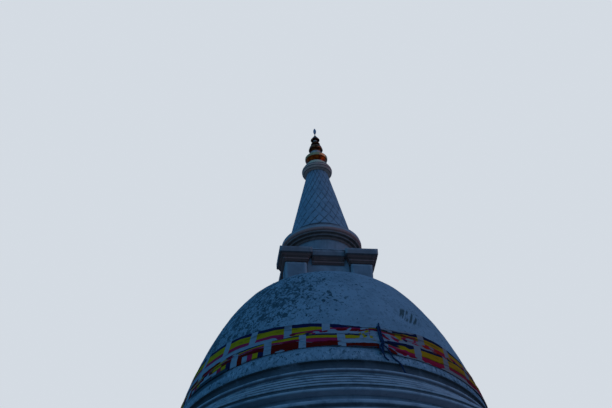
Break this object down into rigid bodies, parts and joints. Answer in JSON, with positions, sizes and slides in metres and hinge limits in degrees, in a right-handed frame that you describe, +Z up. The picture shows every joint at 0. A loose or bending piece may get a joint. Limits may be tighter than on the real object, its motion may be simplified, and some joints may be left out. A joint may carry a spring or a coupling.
{
  "type": "stupa",
  "caption": "Bell-domed plastered stupa on round basal rings, with a square harmika, round drum, conical spire, gilded finial and a tied band of flag cloth.",
  "frame": {"origin": "middle of the plinth's round underside, at ground level", "axes": "+Z up along the stupa's axis, -Y out of the harmika's front face, +X to the viewer's right of that face"},
  "size_m": [12.6, 12.6, 14.085],
  "materials": {
    "plaster": "matt weathered limewash with dark lichen spots",
    "weathered_plaster": "matt rain-stained limewash",
    "spire_paint": "matt paint over plaster with a dark diamond lattice",
    "collar_paint": "satin grey paint over plaster",
    "gilding": "polished gilding",
    "pale_metal": "dull silvering",
    "crystal_glass": "clear cut crystal",
    "flag_cloth": "printed cotton in flag stripes",
    "rope": "twisted strip of blue cloth"
  },
  "bodies": {
    "root": {"plinth": "weathered_plaster", "lower_basal_ring": "weathered_plaster", "middle_basal_ring": "weathered_plaster", "upper_basal_ring": "weathered_plaster", "stepped_moulding": "weathered_plaster", "dome_neck_ring": "weathered_plaster", "dome": "plaster", "harmika_core": "plaster", "pier_front_left": "plaster", "pier_front_right": "plaster", "pier_back_left": "plaster", "pier_back_right": "plaster", "pier_cornice_front_left": "plaster", "pier_cornice_front_right": "plaster", "pier_cornice_back_left": "plaster", "pier_cornice_back_right": "plaster", "bay_cornice_front": "plaster", "bay_cornice_right": "plaster", "bay_cornice_back": "plaster", "bay_cornice_left": "plaster", "harmika_roof": "weathered_plaster", "drum_wall": "plaster", "drum_corbels": "plaster", "drum_lip": "plaster", "spire": "spire_paint", "spire_collar": "collar_paint", "gilt_bowl": "gilding", "gilt_rim": "gilding", "pale_band": "pale_metal", "finial_throat": "gilding", "lower_tier": "gilding", "upper_tier": "gilding", "finial_neck": "pale_metal", "gilt_cap": "gilding", "crystal_pin": "gilding", "crystal": "crystal_glass", "flag_cloth_upper": "flag_cloth", "flag_cloth_lower": "flag_cloth", "rope_lashing": "rope", "rope_knot": "rope", "rope_upper_end": "rope", "rope_tail": "rope", "rope_short_end": "rope"}
  },
  "joints": []
}
